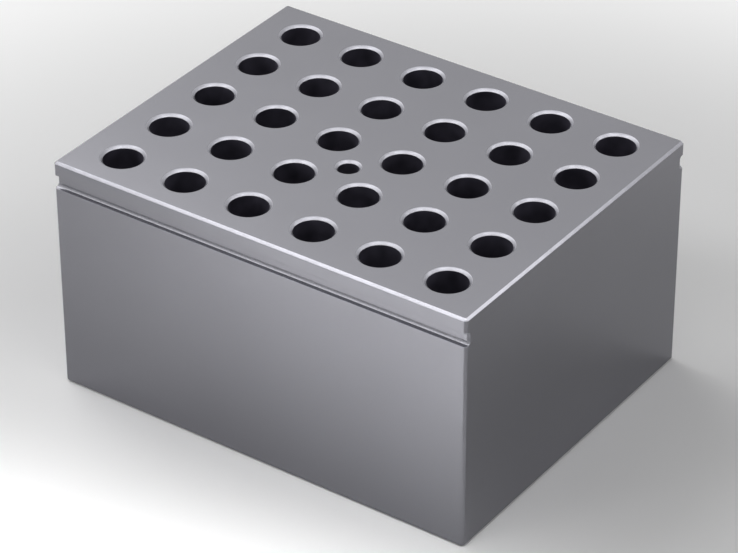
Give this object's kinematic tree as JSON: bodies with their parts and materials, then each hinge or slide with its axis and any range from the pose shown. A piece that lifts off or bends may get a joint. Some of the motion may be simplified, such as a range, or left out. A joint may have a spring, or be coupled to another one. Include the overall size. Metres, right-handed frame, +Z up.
{
  "type": "dry bath heating block",
  "caption": "Rectangular anodised aluminium block with a grid of round wells for small tubes, a lifting thread and grip grooves, for a dry block heater.",
  "frame": {"origin": "middle of the base", "axes": "+X along the long side, +Y across the block towards the back, +Z up, out of the wells"},
  "size_m": [0.095, 0.0756, 0.051],
  "materials": {
    "anodised_aluminium": "fine matt dark grey anodising",
    "insert_steel": "bright drawn stainless steel"
  },
  "bodies": {
    "root": {"heating_block": "anodised_aluminium", "lifting_thread_insert": "insert_steel"}
  },
  "joints": []
}
